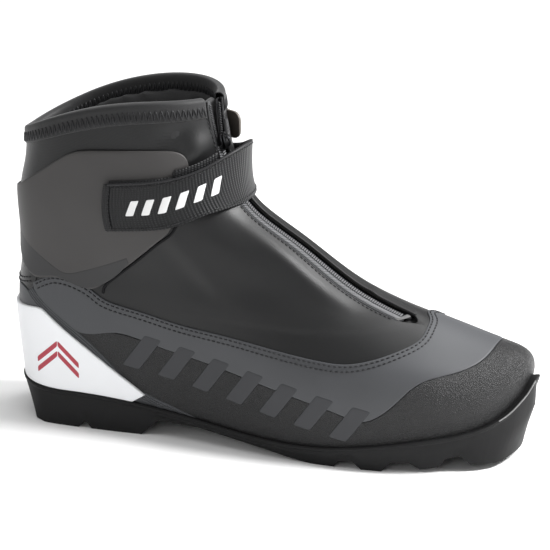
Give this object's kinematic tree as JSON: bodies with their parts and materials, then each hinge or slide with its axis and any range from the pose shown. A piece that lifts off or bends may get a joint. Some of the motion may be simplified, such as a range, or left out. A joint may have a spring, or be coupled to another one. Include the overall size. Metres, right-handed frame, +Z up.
{
  "type": "cross country ski boot",
  "caption": "Insulated cross country ski boot for the right foot: zipped softshell gaiter, heel cuff, ankle strap, toe rand and a grooved sole with a toe bar.",
  "frame": {"origin": "middle of the boot's box, on the floor under it", "axes": "+X from heel to toe, +Y to the wearer's inner side, +Z up"},
  "size_m": [0.3032, 0.1019, 0.1916],
  "materials": {
    "sole_rubber": "moulded black rubber, satin",
    "black_plastic": "moulded nylon, plain",
    "bare_steel": "plain steel",
    "board": "pressed fibre board",
    "lining_fabric": "brushed knit over foam",
    "black_thread": "braided black thread",
    "softshell": "fine twill softshell with a faint sheen",
    "black_webbing": "ribbed woven webbing",
    "zip_nylon": "grey woven tape with a nylon coil",
    "toe_rand": "black coated synthetic leather, fine grain",
    "grey_overlay": "blue-grey coated synthetic, matt",
    "cuff_plastic": "warm grey moulded plastic, satin",
    "white_cap": "white moulded plastic, satin gloss"
  },
  "bodies": {
    "boot": {"sole_body": "sole_rubber", "heel_tread": "sole_rubber", "forefoot_tread": "sole_rubber", "shank_plate": "black_plastic", "binding_bar": "bare_steel", "lasting_board": "board", "footbed": "lining_fabric", "inner_bootie": "lining_fabric", "tongue": "lining_fabric", "toe_puff": "black_plastic", "heel_stiffener": "black_plastic", "eyestay_outer": "black_plastic", "eyestay_inner": "black_plastic", "lace": "black_thread", "gaiter": "softshell", "collar_binding": "black_webbing", "zip_tape_outer": "zip_nylon", "zip_tape_inner": "zip_nylon", "zip_coil": "zip_nylon", "zip_stop": "black_thread", "zip_flap": "softshell", "toe_rand": "toe_rand", "quarter_overlay": "grey_overlay", "counter_band_outer": "cuff_plastic", "counter_band_inner": "cuff_plastic", "heel_counter": "grey_overlay", "heel_cap": "white_cap", "achilles_panel": "toe_rand", "heel_cuff": "cuff_plastic", "loop_pad": "black_webbing", "strap_pin": "bare_steel", "strap_anchor": "black_webbing"},
    "strap": {"ankle_strap": "black_webbing", "hook_pad": "black_webbing"},
    "zip_slider": {"zip_slider": "bare_steel"},
    "zip_pull": {"zip_pull": "black_webbing"}
  },
  "joints": [
    {"name": "strap_swing", "type": "hinge", "parent": "boot", "child": "strap", "pos_m": [-0.04931, 0.03889, 0.13461], "axis": [0, 0, 1], "range_deg": [0, 95]},
    {"name": "zip_slide", "type": "slide", "parent": "boot", "child": "zip_slider", "axis": [-0.1644, 0, 0.9864], "range_m": [0, 0.016]},
    {"name": "pull_flip", "type": "hinge", "parent": "zip_slider", "child": "zip_pull", "pos_m": [-0.0223, -0.0077, 0.1677], "axis": [0, 1, 0], "range_deg": [0, 150]}
  ]
}
